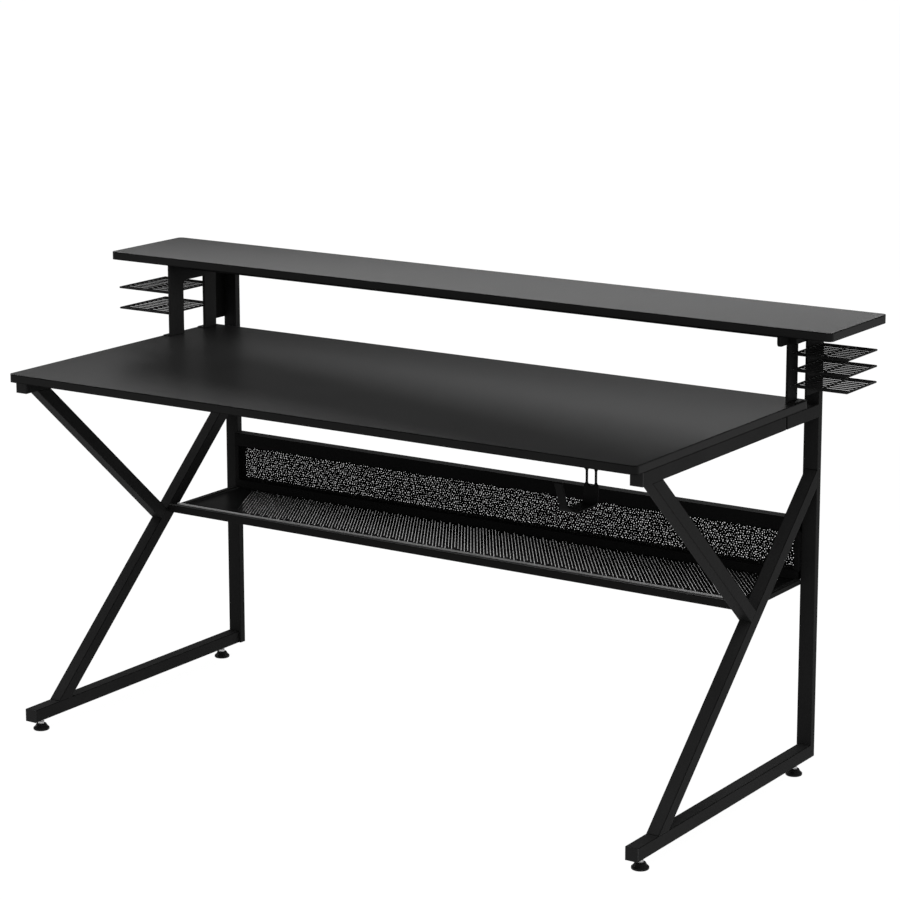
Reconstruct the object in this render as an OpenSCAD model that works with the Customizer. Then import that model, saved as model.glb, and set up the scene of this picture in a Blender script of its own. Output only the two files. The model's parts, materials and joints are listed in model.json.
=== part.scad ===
// Gaming desk with a K-shaped tube frame at each end, a raised shelf that overhangs
// both ends, two racks for flat cases, a perforated lower shelf and a headphone hook.
// Millimetres. X runs left to right, Y from the front edge to the back, Z up from the floor.
// The origin is on the floor, below the middle of the whole desk. The modules below count Y
// from the desktop's front edge, and placed() moves each piece to the origin.

/* [Desktop] */
// Width of the desktop
desk_w = 1400; // [1200:10:1500]
// Depth of the desktop, front to back
desk_d = 635; // [560:5:700]
// Thickness of the desktop
desk_t = 16; // [12:1:25]
// Height of the desktop's upper face above the floor
desk_h = 730; // [700:5:760]
// Corner radius of both boards
board_corner_r = 10; // [4:1:20]
// Thickness of the plastic band round the boards' edges
band_t = 1; // [0.5:0.1:2]

/* [Raised shelf] */
// Width of the raised shelf
shelf_w = 1655; // [1500:5:1800]
// Depth of the raised shelf
shelf_d = 230; // [200:5:260]
// Thickness of the raised shelf
shelf_t = 16; // [12:1:25]
// Height of the raised shelf's upper face above the desktop
shelf_rise = 165; // [140:5:230]

/* [End frames] */
// Side of the square tube that the K-shaped frames are made of
k_tube = 25; // [20:1:30]
// Wall of all the steel tubes
tube_wall = 1.5; // [1:0.1:2]
// Distance of the long strut's foot on the base rail behind the desktop's front edge
strut_foot_y = 111; // [90:1:150]
// Drop of the long strut's head on the upright below the top rail
strut_drop = 118; // [90:1:160]
// Distance of the point where the front strut meets it behind the desktop's front edge
knot_y = 443; // [400:1:480]
// Distance of the front strut's head under the top rail behind the desktop's front edge
strut_head_y = 74; // [50:1:110]
// Distance of the top rail's front end behind the desktop's front edge
top_rail_front = 22; // [10:1:60]
// Distance of the base rail's front end behind the desktop's front edge
base_front = 20; // [0:1:60]
// Gap that shows between the top rail and the stub on the rear upright
rail_gap = 5; // [1:0.5:6]
// Length of the stub that each rear upright carries under the desktop
stub_len = 127; // [100:1:160]

/* [Rear uprights] */
// Width of a rear upright, along X
upright_w = 30; // [25:1:40]
// Depth of a rear upright, along Y
upright_d = 15; // [12:1:25]
// Room between the desktop's back edge and the rear uprights
upright_gap = 43; // [30:1:60]

/* [Levelling feet] */
// Height of the base rail's lower face above the floor
foot_h = 23; // [20:1:30]
// Diameter of a foot's pad
pad_dia = 32; // [28:1:50]
// Thread diameter of a foot's stud
stud_dia = 8; // [6:1:10]
// Distance of the front feet behind the base rail's front end
front_foot_inset = 31; // [20:1:60]
// Distance of the rear feet in front of the rear uprights
rear_foot_inset = 44; // [30:1:80]

/* [Lower shelf] */
// Height of the lower shelf's front rail
deck_rail_h = 15; // [12:1:25]
// Depth of the lower shelf's front rail, along Y
deck_rail_d = 12; // [10:1:30]
// Height of the deck's upturned front lip above that rail
deck_lip_rise = 3; // [1:0.5:6]
// Depth of that lip's folded hem, along Y
deck_lip_d = 7; // [4:1:10]
// Width of the flat bars along the lower shelf's ends
deck_bar_w = 12; // [10:1:20]
// Thickness of those flat bars
deck_bar_t = 10; // [6:0.5:12]
// Thickness of the perforated sheets
sheet_t = 1.5; // [1:0.1:2]
// Pitch of the holes in the lower shelf, along X
deck_pitch = 33; // [30:1:50]
// Width across corners of a hole in the perforated sheets
hole_w = 20; // [10:1:22]

/* [Back panel] */
// Height of the back panel's upper bar
panel_top_h = 27; // [20:1:40]
// Height of the back panel's lower bar
panel_bottom_h = 18; // [12:1:40]
// Height of the perforated field between the two bars
panel_field_h = 74; // [60:1:100]
// Width of the upright stiles at the back panel's ends
stile_w = 10; // [8:1:30]
// Depth of the back panel's bars, along Y
panel_d = 25; // [16:1:30]
// Pitch of the holes in the back panel, along X
panel_pitch = 26; // [24:1:50]

/* [Case racks] */
// Thickness of the rack brackets' plate, along X
post_t = 5; // [3:0.5:8]
// Width of the left bracket's front leg, along Y
front_leg_w = 44; // [30:1:60]
// Width of both brackets' rear legs, along Y
rear_leg_w = 38; // [30:1:60]
// Height of the band that joins the legs under the raised shelf
bracket_band_h = 38; // [20:1:60]
// Depth of the left rack's trays, along Y
left_tray_d = 151; // [140:1:180]
// Depth of the right rack's trays, along Y
right_tray_d = 124; // [90:1:140]
// Reach of the trays' outer ends beyond the brackets, along X
tray_reach = 129; // [100:1:140]
// Wire diameter of a tray's rim
rim_wire = 4; // [3:0.5:6]
// Wire diameter of a tray's bars
bar_wire = 3; // [2:0.5:5]
// Pitch of a tray's bars
bar_pitch = 14; // [10:1:30]
// Height of the rails that run beside the brackets under the raised shelf
side_rail_h = 37; // [25:1:45]
// Width of those rails
side_rail_w = 15; // [10:1:20]
// Height and depth of the rail along the underside of the raised shelf
shelf_rail = 20; // [15:1:25]

/* [Headphone hook] */
// Distance of the hook from the desktop's middle
hook_x = 538; // [-600:1:600]
// Distance of the hook's back leg behind the desktop's front edge
hook_y = 124; // [90:1:150]
// Width of the hook's strap
hook_w = 29; // [24:1:36]
// Thickness of the strap
hook_t = 3; // [2:0.5:4]
// Drop of the hook below the desktop
hook_drop = 97; // [80:1:120]
// Reach of the hook from its back leg to the foot of its front prong
hook_reach = 83; // [60:1:105]
// Height of the front prong
prong_h = 56; // [40:1:70]
// Width of the front prong
prong_w = 16; // [12:1:22]
// Lean of the front prong, away from the back leg
prong_lean = 16; // [0:1:20]

/* [Hidden] */

// Overrun of every cut past the face that it opens
over = 1;
// Half-width that all the end frames share: flush with the desktop's ends
frame_x = desk_w/2;
k_in = frame_x - k_tube;
k_mid = frame_x - k_tube/2;

// Heights of the end frames
rail_top = desk_h - desk_t;
rail_mid = rail_top - k_tube/2;
rail_bottom = rail_top - k_tube;
base_top = foot_h + k_tube;
base_mid = foot_h + k_tube/2;

// Rear uprights
up_front = desk_d + upright_gap;
up_back = up_front + upright_d;
up_in = frame_x - upright_w;
shelf_h = desk_h + shelf_rise;
shelf_under = shelf_h - shelf_t;
shelf_back = up_back;
shelf_front = shelf_back - shelf_d;
plate_t = 3;
cap_t = 3;

// Top rail and stub
stub_front = up_front - stub_len;
top_rail_back = stub_front - rail_gap;
connector_len = 60;
fit_gap = 0.3;

// Points and slopes of the two struts, as [y, z] and degrees
strut_end_z = rail_bottom - strut_drop;
long_strut_angle = atan2(strut_end_z - base_top, up_front - strut_foot_y);
knot_h = base_top + (knot_y - strut_foot_y)*tan(long_strut_angle);
front_strut_angle = atan2(rail_bottom - knot_h, knot_y - strut_head_y);
knot = [knot_y, knot_h];
half = k_tube/2;
rise_angle = 180 - front_strut_angle;
function heading(a) = [cos(a), sin(a)];
function beside(p, a, d) = p + d*[-sin(a), cos(a)];
function meet(p, a, q, b) =
    let (u = heading(a), v = heading(b), w = q - p)
    p + u*(w[0]*v[1] - w[1]*v[0])/(u[0]*v[1] - u[1]*v[0]);

// Outlines in the plane of an end frame: inset and reach are 0 for the outside, and the wall
// and the cut's overrun past the open ends for the inside
function front_strut_line(inset, reach) = concat(
    [for (d = [inset - half, half - inset])
        meet(beside(knot, rise_angle, d), rise_angle, [0, rail_bottom + reach], 0)],
    [for (d = [half - inset, inset - half])
        meet(beside(knot, rise_angle, d), rise_angle,
            beside(knot, long_strut_angle, half - reach), long_strut_angle)]);
function long_strut_line(inset, reach, back) = [
    for (d = [half - inset, inset - half])
        meet(beside(knot, long_strut_angle, d), long_strut_angle, [0, base_top - reach], 0),
    for (d = [inset - half, half - inset])
        meet(beside(knot, long_strut_angle, d), long_strut_angle, [back, 0], 90)];

// Feet, as [x, y]
foot_y = [base_front + front_foot_inset, up_front - rear_foot_inset];
foot_places = [for (y = foot_y, s = [-1, 1]) [s*k_mid, y]];
pad_rim = 4;
pad_edge = 1;
pad_h = 12;
neck_dia = 20;
stud_seat = 4;
nut_w = 13;
nut_t = 5;
stud_reach = 16;
stud_top = foot_h + stud_reach;
stud_gap = 0.05;
insert_dia = 12;
insert_h = 15;
insert_flange_dia = 18;
insert_flange_t = 2;
insert_gap = 0.1;

// Bolts that join the K frames and the shelf's rails to the uprights
bolt_dia = 6;
bolt_head_dia = 10;
bolt_head_h = 4;
bolt_gap = 0.2;
bolt_bite = 12;
hex_key = 4;
side_rail_mid = shelf_under - side_rail_h/2;

// Lugs under the desktop
lug_reach = 25;
lug_w = 30;
lug_t = 3;
lug_h = 15;
lug_inset = 95;
lug_gap = 5;
lug_screw_x = k_in - lug_reach/2;

// Cross rails under the desktop
cross_d = 25;
cross_h = 20;
front_cross_y = 180;
rear_cross_inset = 45;
rear_cross_y = desk_d - rear_cross_inset;
lug_last = rear_cross_y - lug_gap - lug_w;
lug_y = [lug_inset, (lug_inset + lug_last)/2, lug_last];

// Wood screws
screw_dia = 4;
screw_len = 12;
screw_head_dia = 8;
screw_head_h = 2.4;
screw_face_dia = 5.6;
screw_key = 2.8;
screw_gap = 0.1;
desk_screws = [for (y = lug_y, s = [-1, 1]) [s*lug_screw_x, y + lug_w/2]];

// Shelf rails and rack posts
rack_outset = 8;
side_in = k_in + rack_outset;
post_in = side_in - post_t;
rear_leg_lead = 94;
rear_leg_y = up_front - rear_leg_lead;
leg_pitch = 113;
left_leg_y = rear_leg_y - leg_pitch;
head_reach = 38;
right_head_y = rear_leg_y - head_reach;
left_rail_front = left_leg_y + front_leg_w/2;
right_rail_front = rear_leg_y;
shelf_rail_y = right_head_y;
side_rail_x = side_in + side_rail_w/2;

// Places of the bolts through each upright, as [x, z]
bolt_places = [[k_mid, base_mid], [k_mid, strut_end_z], [k_mid, rail_mid],
    [side_rail_x, side_rail_mid]];

bracket_r = 8;
web_t = 2;
web_lead = 3;
web_gap = 9;
web_in = side_in + side_rail_w;
web_out = web_in + web_t;
web_bottom = desk_h + web_gap;
web_corner_r = 4;
bracket_flange_t = 2;
shelf_screw_share = [0.2, 0.8];

// Trays: levels of the wires' middles, as shares of the room above the desktop
rack_room = shelf_rise - shelf_t;
left_level_shares = [0.604, 0.315];
right_level_shares = [0.658, 0.456, 0.255];
tray_end = side_in + tray_reach;
left_tray_y = left_leg_y;
right_tray_lead = 23;
right_tray_y = rear_leg_y - right_tray_lead;

// Lower shelf and back panel
deck_over_knot = 10;
deck_bottom = knot_h + deck_over_knot;
sheet_rise = 6;
deck_z = deck_bottom + sheet_rise;
deck_top = deck_z + sheet_t;
deck_behind_knot = 4;
deck_front = knot_y + deck_behind_knot;
deck_rail_back = deck_front + deck_rail_d;
deck_rail_top = deck_bottom + deck_rail_h;
deck_in = k_in - deck_bar_w;
deck_side_gap = 3;
deck_rows = 5;
deck_margin = 28;
panel_front = up_back - panel_d;
panel_z0 = deck_top;
panel_z1 = panel_z0 + panel_bottom_h;
panel_z2 = panel_z1 + panel_field_h;
panel_rows = 3;
panel_margin = 8;
stile_in = up_in - stile_w;
sheet_y = panel_front + panel_d/2;

// Hook
hook_bend = 14;
hook_plate = 36;
slot_w = 15;
slot_h = 33;
slot_top_gap = 32;
neck_w = 22;
notch_r = 5;
hook_bottom = rail_top - hook_drop;
prong_top = hook_bottom + prong_h;
prong_x = hook_x - hook_w/2 + prong_w;
hook_screw_y = [12, 27];
hook_screws = [for (y = hook_screw_y) [hook_x, hook_y + y]];

// Middle of the whole desk, front to back, with the bolt heads
middle_y = (up_back + bolt_head_h)/2;

steel = "#161616";
laminate = "#2b2b2c";
edging = "#1d1c1b";
plastic = "#101010";
zinc = "#8d8f92";

// A piece moved from the desktop's front edge to the origin
module placed() {
    translate([0, -middle_y, 0]) children();
}

// A solid extruded along X from an outline in the plane of Y and Z
module along_x(x0, w) {
    translate([x0, 0, 0]) rotate([90, 0, 90]) linear_extrude(height = w) children();
}

// The same solid on the left side
module on_left() {
    mirror([1, 0, 0]) children();
}

// A square or rectangular tube along X
module tube_x(x0, x1, y0, d, z0, h) {
    difference() {
        translate([x0, y0, z0]) cube([x1 - x0, d, h]);
        translate([x0 - over, y0 + tube_wall, z0 + tube_wall])
            cube([x1 - x0 + 2*over, d - 2*tube_wall, h - 2*tube_wall]);
    }
}

// A wood screw with its head downwards, its head's seat at the given place
module screw_up(p, z) {
    translate([p[0], p[1], z]) cylinder(d = screw_dia, h = screw_len, $fn = 24);
    translate([p[0], p[1], z - screw_head_h]) difference() {
        cylinder(d1 = screw_face_dia, d2 = screw_head_dia, h = screw_head_h, $fn = 24);
        translate([0, 0, -over]) cylinder(d = screw_key, h = over + screw_head_h/2, $fn = 6);
    }
}

// A board with round corners, as a core and the band round it
module board_outline(w, d, inset) {
    r = board_corner_r - inset;
    x = w/2 - board_corner_r;
    union() {
        translate([-w/2 + inset, board_corner_r]) square([w - 2*inset, d - 2*board_corner_r]);
        translate([-x, inset]) square([2*x, d - 2*inset]);
        for (s = [-1, 1], y = [board_corner_r, d - board_corner_r])
            translate([s*x, y]) circle(r = r, $fn = 48);
    }
}

module desktop() {
    color(laminate) difference() {
        translate([0, 0, rail_top]) linear_extrude(height = desk_t)
            board_outline(desk_w, desk_d, band_t);
        for (p = concat(desk_screws, hook_screws))
            translate([p[0], p[1], rail_top - over])
                cylinder(d = screw_dia + 2*screw_gap, h = over + screw_len, $fn = 24);
    }
}

module desktop_edge_band() {
    color(edging) translate([0, 0, rail_top]) linear_extrude(height = desk_t) difference() {
        board_outline(desk_w, desk_d, 0);
        board_outline(desk_w, desk_d, band_t);
    }
}

module shelf_board() {
    color(laminate) difference() {
        translate([0, shelf_front, shelf_under]) linear_extrude(height = shelf_t)
            board_outline(shelf_w, shelf_d, band_t);
        for (p = shelf_screw_places)
            translate([p[0], p[1], shelf_under - over])
                cylinder(d = screw_dia + 2*screw_gap, h = over + screw_len, $fn = 24);
    }
}

module shelf_edge_band() {
    color(edging) translate([0, shelf_front, shelf_under]) linear_extrude(height = shelf_t)
        difference() {
            board_outline(shelf_w, shelf_d, 0);
            board_outline(shelf_w, shelf_d, band_t);
        }
}

// A tube of the K frame: the outer outline less the inner one
module k_member(outer, inner) {
    difference() {
        along_x(k_in, k_tube) polygon(outer);
        along_x(k_in + tube_wall, k_tube - 2*tube_wall) polygon(inner);
    }
}

module top_rail() {
    front = top_rail_front + cap_t;
    color(steel) difference() {
        translate([k_in, front, rail_bottom]) cube([k_tube, top_rail_back - front, k_tube]);
        translate([k_in + tube_wall, front - over, rail_bottom + tube_wall])
            cube([k_tube - 2*tube_wall, top_rail_back - front + 2*over, k_tube - 2*tube_wall]);
    }
}

module front_strut() {
    color(steel) k_member(front_strut_line(0, 0), front_strut_line(tube_wall, over));
}

module long_strut() {
    color(steel) difference() {
        k_member(long_strut_line(0, 0, up_front),
            long_strut_line(tube_wall, over, up_front - plate_t));
        bolt_hole(k_mid, strut_end_z, up_front - 2*plate_t, 2*plate_t + over);
    }
}

// A bolt's hole along Y in the end of a rail or strut
module bolt_hole(x, z, y, len) {
    translate([x, y, z]) rotate([-90, 0, 0])
        cylinder(d = bolt_dia + 2*bolt_gap, h = len, $fn = 24);
}

module base_rail() {
    front = base_front + cap_t;
    color(steel) difference() {
        translate([k_in, front, foot_h]) cube([k_tube, up_front - front, k_tube]);
        translate([k_in + tube_wall, front - over, foot_h + tube_wall])
            cube([k_tube - 2*tube_wall, up_front - front - plate_t + over, k_tube - 2*tube_wall]);
        bolt_hole(k_mid, base_mid, up_front - plate_t - over, plate_t + 2*over);
        for (y = foot_y) translate([k_mid, y, foot_h - over])
            cylinder(d = insert_dia + 2*insert_gap, h = tube_wall + 2*over, $fn = 32);
    }
}

module rear_upright() {
    bottom = foot_h + cap_t;
    color(steel) difference() {
        translate([up_in, up_front, bottom]) cube([upright_w, upright_d, shelf_under - bottom]);
        translate([up_in + tube_wall, up_front + tube_wall, bottom - over])
            cube([upright_w - 2*tube_wall, upright_d - 2*tube_wall,
                shelf_under - bottom + 2*over]);
        for (p = bolt_places) bolt_hole(p[0], p[1], up_front - over, upright_d + 2*over);
    }
}

module rail_stub() {
    color(steel) difference() {
        translate([k_in, stub_front, rail_bottom]) cube([k_tube, stub_len, k_tube]);
        translate([k_in + tube_wall, stub_front - over, rail_bottom + tube_wall])
            cube([k_tube - 2*tube_wall, stub_len - plate_t + over, k_tube - 2*tube_wall]);
        bolt_hole(k_mid, rail_mid, up_front - plate_t - over, plate_t + 2*over);
    }
}

// Sleeve inside the top rail and the stub, seen as a dark line in the gap between them
module connector() {
    side = k_tube - 2*tube_wall - 2*fit_gap;
    translate([k_mid - side/2, stub_front - rail_gap/2 - connector_len/2, rail_mid - side/2])
        cube([side, connector_len, side]);
}

module rail_connectors() {
    color(plastic) {
        connector();
        on_left() connector();
    }
}

// Caps in the front ends of the base rail and the top rail, and in the upright's foot
module end_caps() {
    plug = 10;
    inner = k_tube - 2*tube_wall - 2*fit_gap;
    for (p = [[base_front, foot_h], [top_rail_front, rail_bottom]]) {
        translate([k_in, p[0], p[1]]) cube([k_tube, cap_t, k_tube]);
        translate([k_mid - inner/2, p[0] + cap_t, p[1] + k_tube/2 - inner/2])
            cube([inner, plug, inner]);
    }
    translate([up_in, up_front, foot_h]) cube([upright_w, upright_d, cap_t]);
    translate([up_in + tube_wall + fit_gap, up_front + tube_wall + fit_gap, foot_h + cap_t])
        cube([upright_w - 2*tube_wall - 2*fit_gap, upright_d - 2*tube_wall - 2*fit_gap,
            plug/2]);
}

module tube_end_caps() {
    color(plastic) {
        end_caps();
        on_left() end_caps();
    }
}

module front_cross_rail() {
    color(steel) tube_x(-k_in, k_in, front_cross_y, cross_d, rail_top - cross_h, cross_h);
}

module rear_cross_rail() {
    color(steel) tube_x(-k_in, k_in, rear_cross_y, cross_d, rail_top - cross_h, cross_h);
}

module shelf_front_rail() {
    color(steel) tube_x(-post_in, post_in, shelf_rail_y, shelf_rail,
        shelf_under - shelf_rail, shelf_rail);
}

// Screws that hold the raised shelf: one pair through each side rail's lower wall
shelf_screw_places = concat(
    [for (t = shelf_screw_share) [-side_rail_x,
        left_rail_front + t*(up_front - left_rail_front)]],
    [for (t = shelf_screw_share) [side_rail_x,
        right_rail_front + t*(up_front - right_rail_front)]]);

module side_rail(front) {
    hole = screw_head_dia + 2*screw_gap;
    color(steel) difference() {
        translate([side_in, front, shelf_under - side_rail_h])
            cube([side_rail_w, up_front - front, side_rail_h]);
        translate([side_in + tube_wall, front + tube_wall, shelf_under - side_rail_h + tube_wall])
            cube([side_rail_w - 2*tube_wall, up_front - front - tube_wall - plate_t,
                side_rail_h - 2*tube_wall]);
        bolt_hole(side_rail_x, side_rail_mid, up_front - plate_t - over, plate_t + 2*over);
        for (t = shelf_screw_share)
            translate([side_rail_x, front + t*(up_front - front), 0]) {
                translate([0, 0, shelf_under - side_rail_h - over])
                    cylinder(d = hole, h = tube_wall + 2*over, $fn = 24);
                translate([0, 0, shelf_under - tube_wall - over])
                    cylinder(d = screw_dia + 2*screw_gap, h = tube_wall + 2*over, $fn = 24);
            }
    }
}

// Bracket plate from its front edge back to the end of the rear leg, with the band at the
// top, and a flange on the desktop under each leg
module rack_bracket(front, legs) {
    band_z = shelf_under - bracket_band_h;
    back = rear_leg_y + rear_leg_w;
    color(steel) {
        along_x(post_in, post_t) union() {
            translate([front + bracket_r, band_z]) square([back - front - bracket_r, bracket_band_h]);
            translate([front, band_z + bracket_r]) square([2*bracket_r, bracket_band_h - bracket_r]);
            translate([front + bracket_r, band_z + bracket_r]) circle(r = bracket_r, $fn = 32);
            for (leg = legs) translate([leg[0], desk_h]) square([leg[1], shelf_under - desk_h]);
        }
        for (leg = legs) translate([side_in, leg[0], desk_h])
            cube([side_rail_w, leg[1], bracket_flange_t]);
    }
}

// Sheet on the side rail's outer face, between the rear leg and the upright, open over the desktop
module rack_web() {
    y0 = rear_leg_y + rear_leg_w + web_lead;
    z1 = shelf_under;
    color(plastic) along_x(web_in, web_t) union() {
        translate([y0, web_bottom + web_corner_r])
            square([up_front - y0, z1 - web_bottom - web_corner_r]);
        translate([y0 + web_corner_r, web_bottom])
            square([up_front - y0 - 2*web_corner_r, 2*web_corner_r]);
        for (y = [y0 + web_corner_r, up_front - web_corner_r])
            translate([y, web_bottom + web_corner_r]) circle(r = web_corner_r, $fn = 32);
    }
}

// Height of a tray's wires above the floor
function tray_z(share) = desk_h + share*rack_room;

// Wire tray: a rim of thicker wire with bars across it
module wire_tray(inner, y, depth, z) {
    x0 = inner + rim_wire/2;
    x1 = tray_end;
    y0 = y + rim_wire/2;
    y1 = y + depth - rim_wire/2;
    bars = floor((y1 - y0)/bar_pitch);
    step = (y1 - y0)/bars;
    color(steel) {
        for (yy = [y0, y1]) translate([x0, yy, z]) rotate([0, 90, 0])
            cylinder(d = rim_wire, h = x1 - x0, $fn = 24);
        for (xx = [x0, x1]) translate([xx, y0, z]) rotate([-90, 0, 0])
            cylinder(d = rim_wire, h = y1 - y0, $fn = 24);
        for (xx = [x0, x1], yy = [y0, y1]) translate([xx, yy, z]) sphere(d = rim_wire, $fn = 24);
        for (i = [1:bars - 1]) translate([x0, y0 + i*step, z]) rotate([0, 90, 0])
            cylinder(d = bar_wire, h = x1 - x0, $fn = 24);
        translate([(x0 + x1)/2, y0, z]) rotate([-90, 0, 0])
            cylinder(d = bar_wire, h = y1 - y0, $fn = 24);
    }
}

module left_tray(share) {
    on_left() wire_tray(side_in, left_tray_y, left_tray_d, tray_z(share));
}

module right_tray(share) {
    wire_tray(web_out, right_tray_y, right_tray_d, tray_z(share));
}

module panel_upper_bar() {
    color(steel) tube_x(-up_in, up_in, panel_front, panel_d, panel_z2, panel_top_h);
}

module panel_lower_bar() {
    color(steel) tube_x(-up_in, up_in, panel_front, panel_d, panel_z1 - panel_bottom_h,
        panel_bottom_h);
}

module panel_stile() {
    color(steel) difference() {
        translate([stile_in, panel_front, panel_z1]) cube([stile_w, panel_d, panel_field_h]);
        translate([stile_in + tube_wall, panel_front + tube_wall, panel_z1 - over])
            cube([stile_w - 2*tube_wall, panel_d - 2*tube_wall, panel_field_h + 2*over]);
    }
}

// Staggered rows of six-sided holes over a field that starts at the origin
module hole_rows(w, h, pitch, rows, margin) {
    count = floor((w - 2*margin)/pitch);
    row_step = (h - 2*margin)/rows;
    for (r = [0:rows - 1], i = [0:count - 1 - r%2])
        translate([w/2 + (i - (count - 1 - r%2)/2)*pitch, margin + (r + 0.5)*row_step])
            circle(d = hole_w, $fn = 6);
}

module back_mesh_panel() {
    color(plastic) translate([-stile_in, sheet_y + sheet_t/2, panel_z1]) rotate([90, 0, 0])
        linear_extrude(height = sheet_t) difference() {
            square([2*stile_in, panel_field_h]);
            hole_rows(2*stile_in, panel_field_h, panel_pitch, panel_rows, panel_margin/2);
        }
}

module lower_shelf_front_rail() {
    color(edging) tube_x(-k_in, k_in, deck_front, deck_rail_d, deck_bottom, deck_rail_h);
}

module lower_shelf_bar() {
    color(steel) translate([deck_in, deck_rail_back, deck_bottom])
        cube([deck_bar_w, panel_front - deck_rail_back, deck_bar_t]);
}

// Perforated deck with a hem along its front that stands on the rail's back face
module lower_shelf_deck() {
    depth = up_back - deck_rail_back;
    x0 = deck_in - deck_side_gap;
    lip_top = deck_rail_top + deck_lip_rise;
    color(plastic) {
        translate([-x0, deck_rail_back, deck_z]) linear_extrude(height = sheet_t) difference() {
            square([2*x0, depth]);
            translate([0, deck_lip_d])
                hole_rows(2*x0, depth - panel_d - deck_lip_d, deck_pitch, deck_rows, deck_margin/2);
        }
        translate([-x0, deck_rail_back, deck_z]) cube([2*x0, sheet_t, lip_top - deck_z]);
        translate([-x0, deck_rail_back, lip_top - sheet_t]) cube([2*x0, deck_lip_d, sheet_t]);
    }
}

// Outline of the hook in the plane of Y and Z: plate, back leg, cradle and prong
module hook_outline() {
    y0 = hook_y - hook_reach;
    z0 = hook_bottom + hook_bend;
    translate([hook_y, rail_top - hook_t]) square([hook_plate, hook_t]);
    translate([hook_y, z0]) square([hook_t, rail_top - z0]);
    translate([y0 + hook_bend, hook_bottom])
        square([hook_reach + hook_t - 2*hook_bend, hook_t]);
    for (b = [[y0 + hook_bend, 180], [hook_y + hook_t - hook_bend, 270]])
        translate([b[0], z0]) intersection() {
            difference() {
                circle(r = hook_bend, $fn = 64);
                circle(r = hook_bend - hook_t, $fn = 64);
            }
            rotate(b[1]) square(hook_bend);
        }
    polygon([[y0, z0], [y0 + hook_t, z0], [y0 + hook_t - prong_lean, prong_top],
        [y0 - prong_lean, prong_top]]);
}

// What is cut from the strap's right side to leave the narrow prong
module prong_cut() {
    y0 = hook_y - hook_reach;
    x1 = hook_x + hook_w/2;
    translate([0, y0 + hook_bend, 0]) rotate([90, 0, 0])
        linear_extrude(height = hook_bend + prong_lean + over)
            polygon([[x1 + over, hook_bottom + hook_t], [x1, hook_bottom + hook_t],
                [prong_x, hook_bottom + hook_bend], [prong_x, prong_top + over],
                [x1 + over, prong_top + over]]);
}

module headphone_hook() {
    slot_z = rail_top - slot_top_gap - slot_w/2;
    color(steel) difference() {
        along_x(hook_x - hook_w/2, hook_w) hook_outline();
        prong_cut();
        for (z = [slot_z, slot_z - slot_h + slot_w])
            translate([hook_x, hook_y - over, z]) rotate([-90, 0, 0])
                cylinder(d = slot_w, h = hook_t + 2*over, $fn = 48);
        translate([hook_x - slot_w/2, hook_y - over, slot_z - slot_h + slot_w])
            cube([slot_w, hook_t + 2*over, slot_h - slot_w]);
        for (s = [-1, 1]) {
            for (z = [slot_z, slot_z - slot_h + slot_w])
                translate([hook_x + s*(neck_w/2 + notch_r), hook_y - over, z]) rotate([-90, 0, 0])
                    cylinder(r = notch_r, h = hook_t + 2*over, $fn = 32);
            translate([hook_x + s*(neck_w/2 + notch_r) - notch_r, hook_y - over,
                slot_z - slot_h + slot_w]) cube([2*notch_r, hook_t + 2*over, slot_h - slot_w]);
        }
        for (p = hook_screws) translate([p[0], p[1], rail_top - hook_t - over])
            cylinder(d = screw_dia + 2*screw_gap, h = hook_t + 2*over, $fn = 24);
    }
}

// Angle lugs on the inner face of a top rail, which hold the desktop
module lug(y) {
    difference() {
        union() {
            translate([k_in - lug_reach, y, rail_top - lug_t]) cube([lug_reach, lug_w, lug_t]);
            translate([k_in - lug_t, y, rail_top - lug_h]) cube([lug_t, lug_w, lug_h]);
        }
        translate([lug_screw_x, y + lug_w/2, rail_top - lug_t - over])
            cylinder(d = screw_dia + 2*screw_gap, h = lug_t + 2*over, $fn = 24);
    }
}

module desktop_lugs() {
    color(steel) for (y = lug_y) {
        lug(y);
        on_left() lug(y);
    }
}

module desktop_screws() {
    color(zinc) {
        for (p = desk_screws) screw_up(p, rail_top - lug_t);
        for (p = hook_screws) screw_up(p, rail_top - hook_t);
    }
}

module shelf_screws() {
    color(zinc) for (p = shelf_screw_places) screw_up(p, shelf_under - tube_wall);
}

// Bolts with a hex socket, put in from the back
module bolt(x, z) {
    translate([x, up_back, z]) rotate([90, 0, 0])
        cylinder(d = bolt_dia, h = upright_d + bolt_bite, $fn = 24);
    translate([x, up_back, z]) rotate([-90, 0, 0]) difference() {
        cylinder(d = bolt_head_dia, h = bolt_head_h, $fn = 32);
        translate([0, 0, bolt_head_h/2]) cylinder(d = hex_key, h = bolt_head_h, $fn = 6);
    }
}

module side_bolts() {
    for (p = bolt_places) bolt(p[0], p[1]);
}

module frame_bolts() {
    color(zinc) {
        side_bolts();
        on_left() side_bolts();
    }
}

// Threaded inserts in the base rails
module foot_inserts() {
    color(zinc) for (p = foot_places) translate([p[0], p[1], foot_h]) difference() {
        union() {
            cylinder(d = insert_dia, h = insert_h, $fn = 32);
            translate([0, 0, tube_wall]) cylinder(d = insert_flange_dia, h = insert_flange_t,
                $fn = 32);
        }
        translate([0, 0, -over])
            cylinder(d = stud_dia + 2*stud_gap, h = insert_h + 2*over, $fn = 32);
    }
}

// Flared pad of a foot, with the socket that the stud stands in
module foot_pad(i) {
    color(plastic) translate([foot_places[i][0], foot_places[i][1], 0])
        rotate_extrude($fn = 64) difference() {
            polygon([[0, 0], [pad_dia/2 - pad_edge, 0], [pad_dia/2, pad_edge],
                [pad_dia/2, pad_rim], [pad_dia/2 - pad_edge, pad_rim + pad_edge],
                [neck_dia/2 + 2*pad_edge, pad_h - pad_rim], [neck_dia/2, pad_h],
                [0, pad_h]]);
            translate([0, stud_seat]) square([stud_dia/2 + stud_gap, pad_h]);
        }
}

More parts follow.
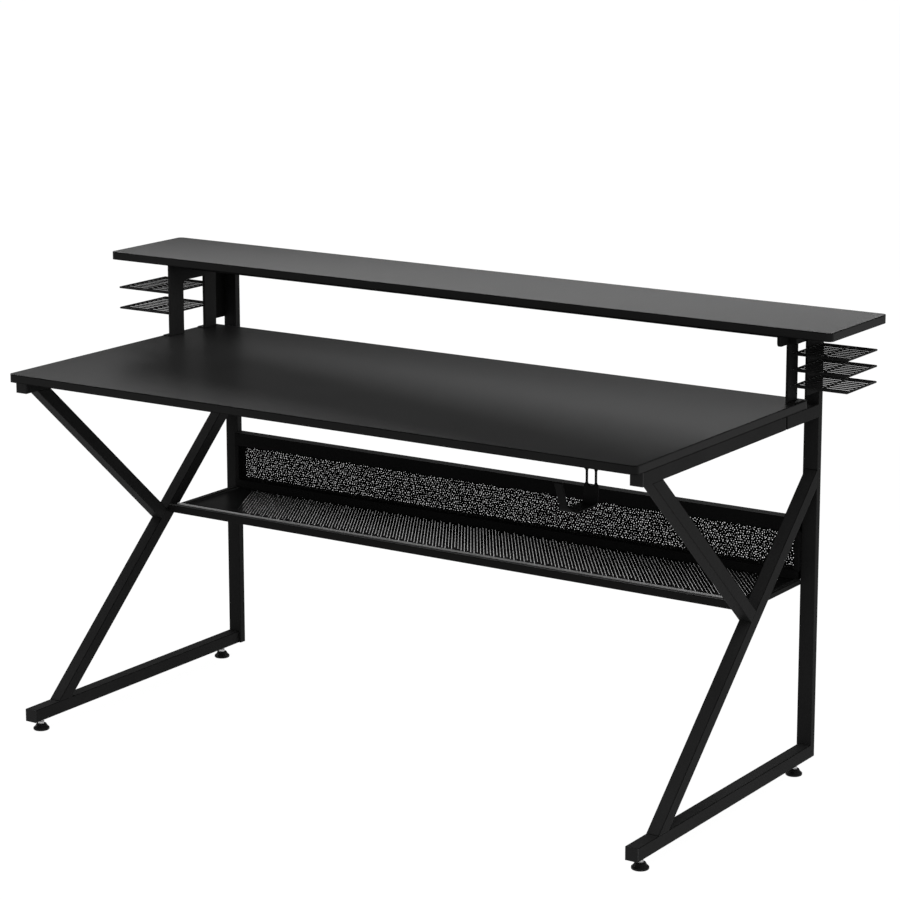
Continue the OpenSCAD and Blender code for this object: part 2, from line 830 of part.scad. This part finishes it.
module foot_stud(i) {
    color(zinc) translate([foot_places[i][0], foot_places[i][1], 0]) {
        translate([0, 0, stud_seat]) cylinder(d = stud_dia, h = stud_top - stud_seat, $fn = 32);
        translate([0, 0, pad_h]) cylinder(d = nut_w, h = nut_t, $fn = 6);
    }
}

module left_top_rail() { on_left() top_rail(); }
module right_top_rail() { top_rail(); }
module left_front_strut() { on_left() front_strut(); }
module right_front_strut() { front_strut(); }
module left_long_strut() { on_left() long_strut(); }
module right_long_strut() { long_strut(); }
module left_base_rail() { on_left() base_rail(); }
module right_base_rail() { base_rail(); }
module left_rear_upright() { on_left() rear_upright(); }
module right_rear_upright() { rear_upright(); }
module left_rail_stub() { on_left() rail_stub(); }
module right_rail_stub() { rail_stub(); }
module left_shelf_side_rail() { on_left() side_rail(left_rail_front); }
module right_shelf_side_rail() { side_rail(right_rail_front); }
module left_rack_bracket() {
    on_left() rack_bracket(left_leg_y, [[left_leg_y, front_leg_w], [rear_leg_y, rear_leg_w]]);
}
module right_rack_bracket() { rack_bracket(right_head_y, [[rear_leg_y, rear_leg_w]]); }
module left_rack_web() { on_left() rack_web(); }
module right_rack_web() { rack_web(); }
module left_rack_upper_tray() { left_tray(left_level_shares[0]); }
module left_rack_lower_tray() { left_tray(left_level_shares[1]); }
module right_rack_upper_tray() { right_tray(right_level_shares[0]); }
module right_rack_middle_tray() { right_tray(right_level_shares[1]); }
module right_rack_lower_tray() { right_tray(right_level_shares[2]); }
module panel_left_stile() { on_left() panel_stile(); }
module panel_right_stile() { panel_stile(); }
module left_lower_shelf_bar() { on_left() lower_shelf_bar(); }
module right_lower_shelf_bar() { lower_shelf_bar(); }

placed() desktop();
placed() desktop_edge_band();
placed() shelf_board();
placed() shelf_edge_band();
placed() left_top_rail();
placed() right_top_rail();
placed() left_front_strut();
placed() right_front_strut();
placed() left_long_strut();
placed() right_long_strut();
placed() left_base_rail();
placed() right_base_rail();
placed() left_rear_upright();
placed() right_rear_upright();
placed() left_rail_stub();
placed() right_rail_stub();
placed() rail_connectors();
placed() tube_end_caps();
placed() front_cross_rail();
placed() rear_cross_rail();
placed() shelf_front_rail();
placed() left_shelf_side_rail();
placed() right_shelf_side_rail();
placed() left_rack_bracket();
placed() right_rack_bracket();
placed() left_rack_web();
placed() right_rack_web();
placed() left_rack_upper_tray();
placed() left_rack_lower_tray();
placed() right_rack_upper_tray();
placed() right_rack_middle_tray();
placed() right_rack_lower_tray();
placed() panel_upper_bar();
placed() panel_lower_bar();
placed() panel_left_stile();
placed() panel_right_stile();
placed() back_mesh_panel();
placed() lower_shelf_front_rail();
placed() left_lower_shelf_bar();
placed() right_lower_shelf_bar();
placed() lower_shelf_deck();
placed() headphone_hook();
placed() desktop_lugs();
placed() desktop_screws();
placed() shelf_screws();
placed() frame_bolts();
placed() foot_inserts();
placed() foot_pad(0);  // front_left_foot_pad
placed() foot_pad(1);  // front_right_foot_pad
placed() foot_pad(2);  // rear_left_foot_pad
placed() foot_pad(3);  // rear_right_foot_pad
placed() foot_stud(0);  // front_left_foot_stud
placed() foot_stud(1);  // front_right_foot_stud
placed() foot_stud(2);  // rear_left_foot_stud
placed() foot_stud(3);  // rear_right_foot_stud
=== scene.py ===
"""Looks of the gaming desk: the camera, the studio, procedural materials, and the fine pieces
that stand for two plain solids. Lengths are in metres in the model's own frame."""
import json
import math

import bmesh
import bpy
import numpy as np
from mathutils import Matrix, Vector


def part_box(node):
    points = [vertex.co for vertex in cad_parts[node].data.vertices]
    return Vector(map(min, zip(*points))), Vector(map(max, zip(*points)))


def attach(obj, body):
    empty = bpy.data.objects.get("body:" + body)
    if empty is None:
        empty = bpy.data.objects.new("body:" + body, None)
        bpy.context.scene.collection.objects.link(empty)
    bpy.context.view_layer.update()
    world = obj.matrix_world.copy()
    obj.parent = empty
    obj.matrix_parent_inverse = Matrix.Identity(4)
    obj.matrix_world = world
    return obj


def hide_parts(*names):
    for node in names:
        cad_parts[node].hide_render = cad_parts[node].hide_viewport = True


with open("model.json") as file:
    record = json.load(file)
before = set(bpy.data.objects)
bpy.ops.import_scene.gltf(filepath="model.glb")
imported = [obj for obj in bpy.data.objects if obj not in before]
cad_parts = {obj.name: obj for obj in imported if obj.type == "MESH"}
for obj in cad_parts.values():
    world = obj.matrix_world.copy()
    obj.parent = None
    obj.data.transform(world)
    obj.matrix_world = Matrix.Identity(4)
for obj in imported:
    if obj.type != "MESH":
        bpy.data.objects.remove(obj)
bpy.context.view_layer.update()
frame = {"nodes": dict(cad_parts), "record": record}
NODES = frame["nodes"]
SLOT = {s["node"]: s["material_slot"] for s in frame["record"]["subparts"]}
scene = bpy.context.scene

# Camera, fitted to the desk's corners in the photograph. Angles are in radians.
CAM_YAW, CAM_PITCH, CAM_ROLL = 0.587318, 0.198205, -0.001358
CAM_PLACE = (3.07977, -4.48539, 1.86844)
CAM_SENSOR_MM, CAM_LENS_MM = 36, 117.02
CAM_SHIFT_Y = -0.1
CAM_CLIP_END = 200

# Coats: shares of noise, angles and colours that all materials have in common.
CLOUD_SCALE, CLOUD_SPAN = 7, (0.25, 0.75)       # slow change of the grey
CLOUD_NOISE, GRAIN_NOISE = (4, 0.55), (2, 0.6)  # detail and roughness of the noise
GRAIN_SPAN = (0.60, 0.8)                        # tops of the fine grain, which are lighter
GRAIN_LIFT, GRAIN_FLOOR = 1.7, 0.001
EDGE_SAMPLES, EDGE_SPAN = 8, (0.0, 0.06)        # how far the rounded normal leaves the true one
TOP_SPAN = (0.12, 0.4)                          # how far the rounded normal looks up
EDGE_SHADE_GREY, EDGE_SHADE_ROUGH = 0.08, 0.35             # painted shade: a dark line along a rounded top edge
ROUGH_SWING = 0.03
BUMP_DEPTH = 0.0004

# Paint: (material, base grey, roughness, specular level, further values of coated()).
PAINTS = {
    "laminate": ("laminate_black", 0.0125, 0.36, 0.005,
                 dict(grain=1500, bump=0.02, vary=0.05, edge=0.0012)),
    # Edge band: painted shade along both its top and its bottom edges.
    "edging": ("edge_band_black", 0.0062, 0.5, 0.08,
               dict(grain=700, bump=0.03, edge=0.0035, line=0.92, under=True)),
    "frame": ("powder_coat_black", 0.0135, 0.6, 0.035, dict(grain=1100, edge=0.003)),
    # Painted shade: a darker copy of the frame's coat, for parts that lie in the shade of others.
    "dark": ("powder_coat_shaded", 0.0082, 0.6, 0.02, dict(grain=1100)),
    "mesh": ("mesh_paint", 0.006, 0.36, 0.004, dict(bump=0.02, edge=0.0003, line=0.0)),
    "rail": ("rail_warm_black", 0.0085, 0.55, 0.06, dict(grain=1100, warm=0.02)),
    "deck": ("deck_paint", 0.0062, 0.34, 0.012, dict(bump=0.02, edge=0.0003, line=0.0)),
    "plastic": ("moulded_black", 0.007, 0.5, 0.12, dict(grain=500, edge=0.001)),
    # Painted highlight: the light grey of the hem's rolled bead.
    "hem": ("hem_painted_highlight", 0.42, 0.5, 0.05, dict(bump=0.03, edge=0.0004, line=0.0)),
    # Painted shadow: near-black for the groove behind the hem's bead and for the slots at the rail
    # connectors.
    "shadow": ("painted_recess_shadow", 0.0015, 0.8, 0.0, dict(bump=0.03, edge=0.0004, line=0.0)),
    "fastener": ("zinc_plated", 0.45, 0.35, 0.5,
                 dict(grain=400, bump=0.1, edge=0.0003, line=0.2, metallic=1.0)),
}
# Nodes painted a darker copy of the frame's coat instead of their slot's paint: painted shade, for
# they lie in the shade of others.
SHADED = ("panel_upper_bar", "panel_lower_bar", "panel_left_stile", "panel_right_stile",
          "left_rack_web", "right_rack_web", "headphone_hook")

MERGE = 2e-6                    # corners of cells nearer than this are one corner

# Mesh of the back panel: rows of small, slightly uneven six-sided holes.
PANEL_SHEET, PANEL_PITCH, PANEL_HOLE = 0.0006, 0.0054, 0.00178
PANEL_ROW = 0.866               # distance of the rows, as a share of the pitch
PANEL_SHIFT = 0.5               # how far every other row is moved, as a share of the pitch
PANEL_JITTER, PANEL_SEED = 0.6, 3
PANEL_SMALLER, PANEL_SPREAD = 0.6, 1.1          # share of holes made smaller, and how much
NARROW_CELL = 0.75              # cells narrower than this share of the pitch stay closed

# Lower shelf: fine slots on lines that fan out from a point far behind the desk, on the left.
DECK_SHEET, DECK_Z = 0.0003, 0.37099
DECK_SIDE, DECK_FRONT, DECK_BACK = 0.020, 0.034, 0.016      # borders without slots
FAN_APEX = (-2.58, 4.16)
FAN_LEFT = (-0.572, 0.205)      # no slots to the left of the fan's line through this point
SLOT_PITCH, SLOT_STEP = 0.0064, 0.0245          # across at the front edge, and along a line
SLOT_BRIDGE = 0.0010            # sheet between two slots of a line
SLOT_WIDTH, SLOT_GROWTH = 0.00020, 0.00046      # width at the back, and what the front adds

# Hem of the lower shelf: (distance from the front edge, height that counts, height over it). The
# bead's light grey is a painted highlight on its rolled top.
HEM_BEAD = ((0.0, "sheet", -0.0004), (0.0, "rim", -0.0008), (0.0006, "rim", 0.0),
            (0.0022, "rim", 0.0), (0.0030, "rim", -0.0008), (0.0030, "rim", -0.0026),
            (0.0014, "rim", -0.0030), (0.0014, "sheet", -0.0004))
# A near-black strip behind the bead: painted shadow in the groove between the bead and the slots.
HEM_SHADOW_STRIP = ((0.0014, "rim", -0.0030), (0.0030, "rim", -0.0012), (0.0070, "rim", -0.0010),
              (0.0070, "rim", -0.0022), (0.0034, "rim", -0.0026))

# Studio. Powers are in watts.
DOME_TOWARD, DOME_SPAN = (0.84, -0.20, 0.46), (-0.6, 1.0)   # the dome's brighter side
DOME_DIM, DOME_BRIGHT = 0.60, 1.02
GLOSS_SPAN, GLOSS_LOW, GLOSS_HIGH = (0.0, 0.26), 1.0, 0.08  # what glossy coats mirror, by height
WHITE = 1.0
FLOOR_HALF, FLOOR_GREY, FLOOR_EMIT, FLOOR_GLOW = 40.0, 0.3, 1.15, 0.85


# ---------------------------------------------------------------- node helpers
def node(nt, kind, **values):
    """New shader node. A value goes to the socket of its name, or else to the node itself."""
    n = nt.nodes.new(kind)
    for k, v in values.items():
        if k in n.inputs:
            n.inputs[k].default_value = v
        else:
            setattr(n, k, v)
    return n


def math_node(nt, op, a, b=None, clamp=False):
    n = node(nt, "ShaderNodeMath", operation=op, use_clamp=clamp)
    for i, v in enumerate((a, b)):
        if v is None:
            continue
        if isinstance(v, (int, float)):
            n.inputs[i].default_value = v
        else:
            nt.links.new(v, n.inputs[i])
    return n.outputs[0]


def mix_color(nt, fac, a, b):
    n = node(nt, "ShaderNodeMix", data_type="RGBA")
    for i, v in ((0, fac), (6, a), (7, b)):     # the sockets Factor, A and B of a colour mix
        if isinstance(v, tuple):
            n.inputs[i].default_value = v + (1,)
        else:
            nt.links.new(v, n.inputs[i])
    return n.outputs[2]


def noise(nt, scale, detail, rough):
    n = node(nt, "ShaderNodeTexNoise", Scale=scale, Detail=detail, Roughness=rough)
    nt.links.new(nt.nodes.new("ShaderNodeTexCoord").outputs["Object"], n.inputs["Vector"])
    return n.outputs["Fac"]


def ramp(nt, value, lo, hi):
    """0 below lo, 1 above hi, and a smooth step between."""
    n = node(nt, "ShaderNodeMapRange", interpolation_type="SMOOTHSTEP")
    n.inputs["From Min"].default_value = lo
    n.inputs["From Max"].default_value = hi
    nt.links.new(value, n.inputs["Value"])
    return n.outputs[0]


def dot_product(nt, a, b):
    n = node(nt, "ShaderNodeVectorMath", operation="DOT_PRODUCT")
    nt.links.new(a, n.inputs[0])
    if isinstance(b, Vector):
        n.inputs[1].default_value = b
    else:
        nt.links.new(b, n.inputs[1])
    return n.outputs["Value"]


def height_of(nt, direction):
    sep = nt.nodes.new("ShaderNodeSeparateXYZ")
    nt.links.new(direction, sep.inputs[0])
    return sep.outputs["Z"]


def ray_is(nt, *kinds):
    """1 for the rays of the given kinds, 0 for the others."""
    rays = nt.nodes.new("ShaderNodeLightPath").outputs
    value = rays[kinds[0]]
    for kind in kinds[1:]:
        value = math_node(nt, "MAXIMUM", value, rays[kind])
    return value


def grey(v, warm=0.0):
    return (v * (1 + warm), v, v * (1 - warm))


# ---------------------------------------------------------------- materials
def coated(name, base, rough, spec, grain=900, bump=0.05, vary=0.12, warm=0.0, edge=0.0022,
           line=0.8, under=False, metallic=0.0):
    """A painted, laminated or moulded surface with faint clouds and fine grain. Its edge-shade
    share paints shade as a dark line on the rounded edge between a top and a side face, and its
    bottom-edge switch paints it along a bottom edge too."""
    mat = bpy.data.materials.new(name)
    mat.use_nodes = True
    nt = mat.node_tree
    nt.nodes.clear()
    out = nt.nodes.new("ShaderNodeOutputMaterial")
    bsdf = nt.nodes.new("ShaderNodeBsdfPrincipled")
    nt.links.new(bsdf.outputs[0], out.inputs[0])

    cloud = ramp(nt, noise(nt, CLOUD_SCALE, *CLOUD_NOISE), *CLOUD_SPAN)
    fine = noise(nt, grain, *GRAIN_NOISE)
    color = mix_color(nt, cloud, grey(base * (1 - vary), warm), grey(base * (1 + vary), warm))
    color = mix_color(nt, ramp(nt, fine, *GRAIN_SPAN), color,
                      grey(base * GRAIN_LIFT + GRAIN_FLOOR, warm))

    # Painted shade: a dark line on rounded edges, where the rounded normal turns off the true one
    # and looks up, or also down with the bottom-edge switch.
    rounded = node(nt, "ShaderNodeBevel", samples=EDGE_SAMPLES, Radius=edge).outputs[0]
    true = nt.nodes.new("ShaderNodeNewGeometry").outputs["True Normal"]
    turn = ramp(nt, math_node(nt, "SUBTRACT", 1.0, dot_product(nt, rounded, true)), *EDGE_SPAN)
    up = height_of(nt, rounded)
    if under:
        up = math_node(nt, "ABSOLUTE", up)
    dark = math_node(nt, "MULTIPLY", turn, ramp(nt, up, *TOP_SPAN))
    dark = math_node(nt, "MULTIPLY", dark, line)
    color = mix_color(nt, dark, color, grey(base * EDGE_SHADE_GREY, warm))
    nt.links.new(color, bsdf.inputs["Base Color"])

    swing = nt.nodes.new("ShaderNodeMapRange")
    nt.links.new(fine, swing.inputs["Value"])
    swing.inputs["To Min"].default_value = rough - ROUGH_SWING
    swing.inputs["To Max"].default_value = rough + ROUGH_SWING
    dull = math_node(nt, "MULTIPLY", dark, EDGE_SHADE_ROUGH)
    nt.links.new(math_node(nt, "ADD", swing.outputs[0], dull, clamp=True), bsdf.inputs["Roughness"])
    bsdf.inputs["Specular IOR Level"].default_value = spec
    bsdf.inputs["Metallic"].default_value = metallic

    relief = node(nt, "ShaderNodeBump", Strength=bump, Distance=BUMP_DEPTH)
    nt.links.new(fine, relief.inputs["Height"])
    nt.links.new(rounded, relief.inputs["Normal"])
    nt.links.new(relief.outputs[0], bsdf.inputs["Normal"])
    return mat


def paint(obj, key):
    obj.data.materials.clear()
    obj.data.materials.append(MATS[key])


def dress_nodes():
    for name, obj in NODES.items():
        paint(obj, SLOT.get(name, "frame"))
    # Painted shade: parts in the shade of others get the darker copy of the frame's coat.
    for name in SHADED:
        paint(NODES[name], "dark")
    # Painted shadow: the connector slots are near-black for the shade in their gaps.
    paint(NODES["rail_connectors"], "shadow")


# ---------------------------------------------------------------- fine pieces
def mesh_object(name, points, faces):
    mesh = bpy.data.meshes.new(name)
    mesh.from_pydata(points, [], faces)
    mesh.update()
    obj = bpy.data.objects.new(name, mesh)
    scene.collection.objects.link(obj)
    return obj


def sheet(name, points, faces, thick):
    """Closed sheet about its cells' plane. The cells come to share their corners first, or each
    would close for itself."""
    obj = mesh_object(name, points, faces)
    bm = bmesh.new()
    bm.from_mesh(obj.data)
    bmesh.ops.remove_doubles(bm, verts=bm.verts, dist=MERGE)
    bm.to_mesh(obj.data)
    bm.free()
    obj.data.update()
    solid = obj.modifiers.new("thickness", "SOLIDIFY")
    solid.thickness = thick
    solid.offset = 0
    return obj


def band(base, n):
    """Faces between the n points from base on and the next n."""
    return [[base + k, base + (k + 1) % n, base + n + (k + 1) % n, base + n + k]
            for k in range(n)]


def on_frame(obj, key):
    paint(obj, key)
    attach(obj, "frame")


def make_panel_mesh():
    """Rows of rectangular cells like bricks in a wall. Each whole cell has one hole in it."""
    lo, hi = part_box("back_mesh_panel")
    y = (lo.y + hi.y) / 2
    width, height = hi.x - lo.x, hi.z - lo.z
    rng = np.random.default_rng(PANEL_SEED)
    columns = max(2, int(round(width / PANEL_PITCH)))
    rows = max(2, int(round(height / (PANEL_PITCH * PANEL_ROW))))
    du, dv = width / columns, height / rows
    points, faces = [], []

    def uneven(middle):
        return (rng.random() - middle) * PANEL_JITTER

    for j in range(rows):
        shift = PANEL_SHIFT * du * (j % 2)
        cuts = [shift + i * du for i in range(columns)]
        cuts = [0.0] + [u for u in cuts if 0 < u < width - 1e-9] + [width]
        v0, v1 = j * dv, (j + 1) * dv
        for u0, u1 in zip(cuts[:-1], cuts[1:]):
            mid = (u0 + u1) / 2
            base = len(points)
            cell = [(u0, v0), (mid, v0), (u1, v0), (u1, v1), (mid, v1), (u0, v1)]
            if u1 - u0 < du * NARROW_CELL:
                points += [cell[0], cell[2], cell[3], cell[5]]
                faces.append([base, base + 1, base + 2, base + 3])
                continue
            cu = mid + uneven(0.5) * du
            cv = (v0 + v1) / 2 + uneven(0.5) * dv
            r = PANEL_HOLE / 2 * (1 + uneven(PANEL_SMALLER) * PANEL_SPREAD)
            hole = [(cu + r * math.cos(math.radians(d)), cv + r * math.sin(math.radians(d)))
                    for d in (210, 270, 330, 30, 90, 150)]
            points += cell + hole
            faces += band(base, 6)
    obj = sheet("panel_mesh", [(lo.x + u, y, lo.z + v) for u, v in points], faces, PANEL_SHEET)
    on_frame(obj, "mesh")
    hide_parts("back_mesh_panel")


def clipped(poly, lo, hi):
    """The part of a flat polygon that lies on the sheet from lo to hi."""
    for axis, limit, sign in ((0, lo.x, 1), (0, hi.x, -1), (1, lo.y, 1), (1, hi.y, -1)):
        kept = []
        for k in range(len(poly)):
            p, q = poly[k - 1], poly[k]
            dp, dq = sign * (p[axis] - limit), sign * (q[axis] - limit)
            if (dp >= 0) != (dq >= 0):
                f = dp / (dp - dq)
                kept.append((p[0] + f * (q[0] - p[0]), p[1] + f * (q[1] - p[1])))
            if dq >= 0:
                kept.append(q)
        poly = kept
    return poly


def make_deck():
    """Cells between lines of a fan, each with one slot, and plain sheet near the borders."""
    lo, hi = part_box("lower_shelf_deck")
    apex = Vector(FAN_APEX)
    points, faces = [], []

    def polar(x, y):
        return math.atan2(apex.x - x, apex.y - y), math.hypot(apex.x - x, apex.y - y)

    def at(angle, radius):
        return apex.x - radius * math.sin(angle), apex.y - radius * math.cos(angle)

    def hexagon(a0, a1, r0, rm, r1):
        return [at(a0, r0), at(a1, r0), at(a1, rm), at(a1, r1), at(a0, r1), at(a0, rm)]

    def inside(poly, side=0, front=0, back=0):
        return all(lo.x + side < x < hi.x - side and lo.y + front < y < hi.y - back
                   for x, y in poly)

    corners = [polar(x, y) for x in (lo.x, hi.x) for y in (lo.y, hi.y)]
    near = math.hypot(apex.x - min(max(apex.x, lo.x), hi.x), apex.y - min(max(apex.y, lo.y), hi.y))
    far = max(radius for _, radius in corners)
    turn = SLOT_PITCH / polar(0.0, lo.y)[1]
    first = math.floor(min(angle for angle, _ in corners) / turn)
    last = math.ceil(max(angle for angle, _ in corners) / turn)
    left = polar(*FAN_LEFT)[0]
    for i in range(first, last):
        for j in range(int(near / SLOT_STEP) - 1, int(far / SLOT_STEP) + 1):
            a0, a1 = i * turn, (i + 1) * turn
            am = (a0 + a1) / 2
            r0 = j * SLOT_STEP + (i % 2) * SLOT_STEP / 2
            rm, r1 = r0 + SLOT_STEP / 2, r0 + SLOT_STEP
            cell = hexagon(a0, a1, r0, rm, r1)
            to_front = min(1.0, max(0.0, (hi.y - at(am, rm)[1]) / (hi.y - lo.y)))
            w = (SLOT_WIDTH + SLOT_GROWTH * to_front) / 2 / rm
            slot = hexagon(am - w, am + w, r0 + SLOT_BRIDGE / 2, rm, r1 - SLOT_BRIDGE / 2)
            base = len(points)
            if a1 < left and inside(cell) and inside(slot, DECK_SIDE, DECK_FRONT, DECK_BACK):
                points += cell + slot
                faces += band(base, 6)
                continue
            plain = clipped(cell, lo, hi)
            if len(plain) > 2:
                points += plain
                faces.append([base + k for k in range(len(plain))])
    obj = sheet("deck_sheet", [(x, y, DECK_Z) for x, y in points], faces, DECK_SHEET)
    on_frame(obj, "deck")
    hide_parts("lower_shelf_deck")
    make_hem(lo, hi)


def make_hem(lo, hi):
    """Rolled rim along the front of the lower shelf: two rods of one section each, along X: a bead
    painted light grey as a painted highlight, and a strip painted near-black as painted shadow.
    """
    height = {"sheet": DECK_Z, "rim": hi.z}
    for name, outline, key in (("deck_hem_bead", HEM_BEAD, "hem"),
                               ("deck_hem_shadow_strip", HEM_SHADOW_STRIP, "shadow")):
        section = [(lo.y + dy, height[level] + dz) for dy, level, dz in outline]
        n = len(section)
        ends = [[k for k in range(n)][::-1], [n + k for k in range(n)]]
        piece = mesh_object(name, [(x, y, z) for x in (lo.x, hi.x) for y, z in section],
                            band(0, n) + ends)
        on_frame(piece, key)


# ---------------------------------------------------------------- camera and studio
def make_camera():
    data = bpy.data.cameras.new("camera")
    cam = bpy.data.objects.new("camera", data)
    scene.collection.objects.link(cam)
    flat = math.cos(CAM_PITCH)
    fwd = Vector((-math.sin(CAM_YAW) * flat, math.cos(CAM_YAW) * flat, -math.sin(CAM_PITCH)))
    right = Vector((math.cos(CAM_YAW), math.sin(CAM_YAW), 0))
    up = right.cross(fwd)
    c, s = math.cos(CAM_ROLL), math.sin(CAM_ROLL)
    right, up = right * c + up * s, up * c - right * s
    pose = Matrix((right, up, -fwd)).transposed().to_4x4()
    pose.translation = Vector(CAM_PLACE)
    cam.matrix_world = pose
    data.sensor_fit = "HORIZONTAL"
    data.sensor_width = CAM_SENSOR_MM
    data.lens = CAM_LENS_MM
    data.shift_y = CAM_SHIFT_Y
    data.clip_end = CAM_CLIP_END
    scene.camera = cam


def make_world():
    """Dome that is brighter from the right. Glossy coats see it white at the horizon and dark
    above, and the camera sees plain white."""
    world = bpy.data.worlds.new("studio")
    scene.world = world
    world.use_nodes = True
    nt = world.node_tree
    toward = nt.nodes.new("ShaderNodeTexCoord").outputs["Generated"]
    side = dot_product(nt, toward, Vector(DOME_TOWARD).normalized())
    dome = mix_color(nt, ramp(nt, side, *DOME_SPAN), grey(DOME_DIM), grey(DOME_BRIGHT))
    mirrored = mix_color(nt, ramp(nt, height_of(nt, toward), *GLOSS_SPAN),
                         grey(GLOSS_LOW), grey(GLOSS_HIGH))
    color = mix_color(nt, ray_is(nt, "Is Glossy Ray"), dome, mirrored)
    color = mix_color(nt, ray_is(nt, "Is Camera Ray", "Is Transmission Ray"), color, grey(WHITE))
    background = nt.nodes["Background"]
    nt.links.new(color, background.inputs["Color"])
    background.inputs["Strength"].default_value = 1.0


def make_floor():
    """Floor that glows white to the camera and keeps some shadow. From below it is clear."""
    r = FLOOR_HALF
    floor = mesh_object("floor", [(-r, -r, 0), (r, -r, 0), (r, r, 0), (-r, r, 0)], [[0, 1, 2, 3]])
    mat = bpy.data.materials.new("floor_white")
    mat.use_nodes = True
    nt = mat.node_tree
    nt.nodes.clear()
    grounds = (node(nt, "ShaderNodeBsdfDiffuse", Color=grey(FLOOR_GREY) + (1,)),
               node(nt, "ShaderNodeEmission", Color=grey(WHITE) + (1,), Strength=FLOOR_EMIT))
    seen = ray_is(nt, "Is Camera Ray", "Is Glossy Ray", "Is Transmission Ray")
    above = nt.nodes.new("ShaderNodeMixShader")
    nt.links.new(math_node(nt, "MULTIPLY", seen, FLOOR_GLOW), above.inputs[0])
    for i, ground in enumerate(grounds):
        nt.links.new(ground.outputs[0], above.inputs[1 + i])
    both = nt.nodes.new("ShaderNodeMixShader")
    nt.links.new(nt.nodes.new("ShaderNodeNewGeometry").outputs["Backfacing"], both.inputs[0])
    nt.links.new(above.outputs[0], both.inputs[1])
    nt.links.new(nt.nodes.new("ShaderNodeBsdfTransparent").outputs[0], both.inputs[2])
    out = nt.nodes.new("ShaderNodeOutputMaterial")
    nt.links.new(both.outputs[0], out.inputs[0])
    floor.data.materials.append(mat)


def softbox(name, width, depth, power, place, aim):
    data = bpy.data.lights.new(name, "AREA")
    data.shape = "RECTANGLE"
    data.size, data.size_y = width, depth
    data.energy = power
    lamp = bpy.data.objects.new(name, data)
    scene.collection.objects.link(lamp)
    lamp.location = place
    lamp.rotation_euler = (Vector(aim) - lamp.location).to_track_quat("-Z", "Y").to_euler()
    return lamp


def make_lamps():
    """A large lamp above, and a low strip behind the desk. The strip's glow lies on the rear of
    the desktop, because the raised shelf hides it from the front."""
    top = softbox("top", 5.0, 4.0, 150, place=(0.8, -1.2, 4.6), aim=(0, 0, 0.5))
    top.visible_glossy = False
    rear = softbox("rear_glow", 4.6, 0.17, 19.0, place=(-1.0, 0.80, 1.16), aim=(-0.6, 0, 0.75))
    rear.visible_camera = False


MATS = {key: coated(*row[:-1], **row[-1]) for key, row in PAINTS.items()}
make_camera()
dress_nodes()
make_panel_mesh()
make_deck()
make_world()
make_floor()
make_lamps()

scene.view_settings.view_transform = "Standard"
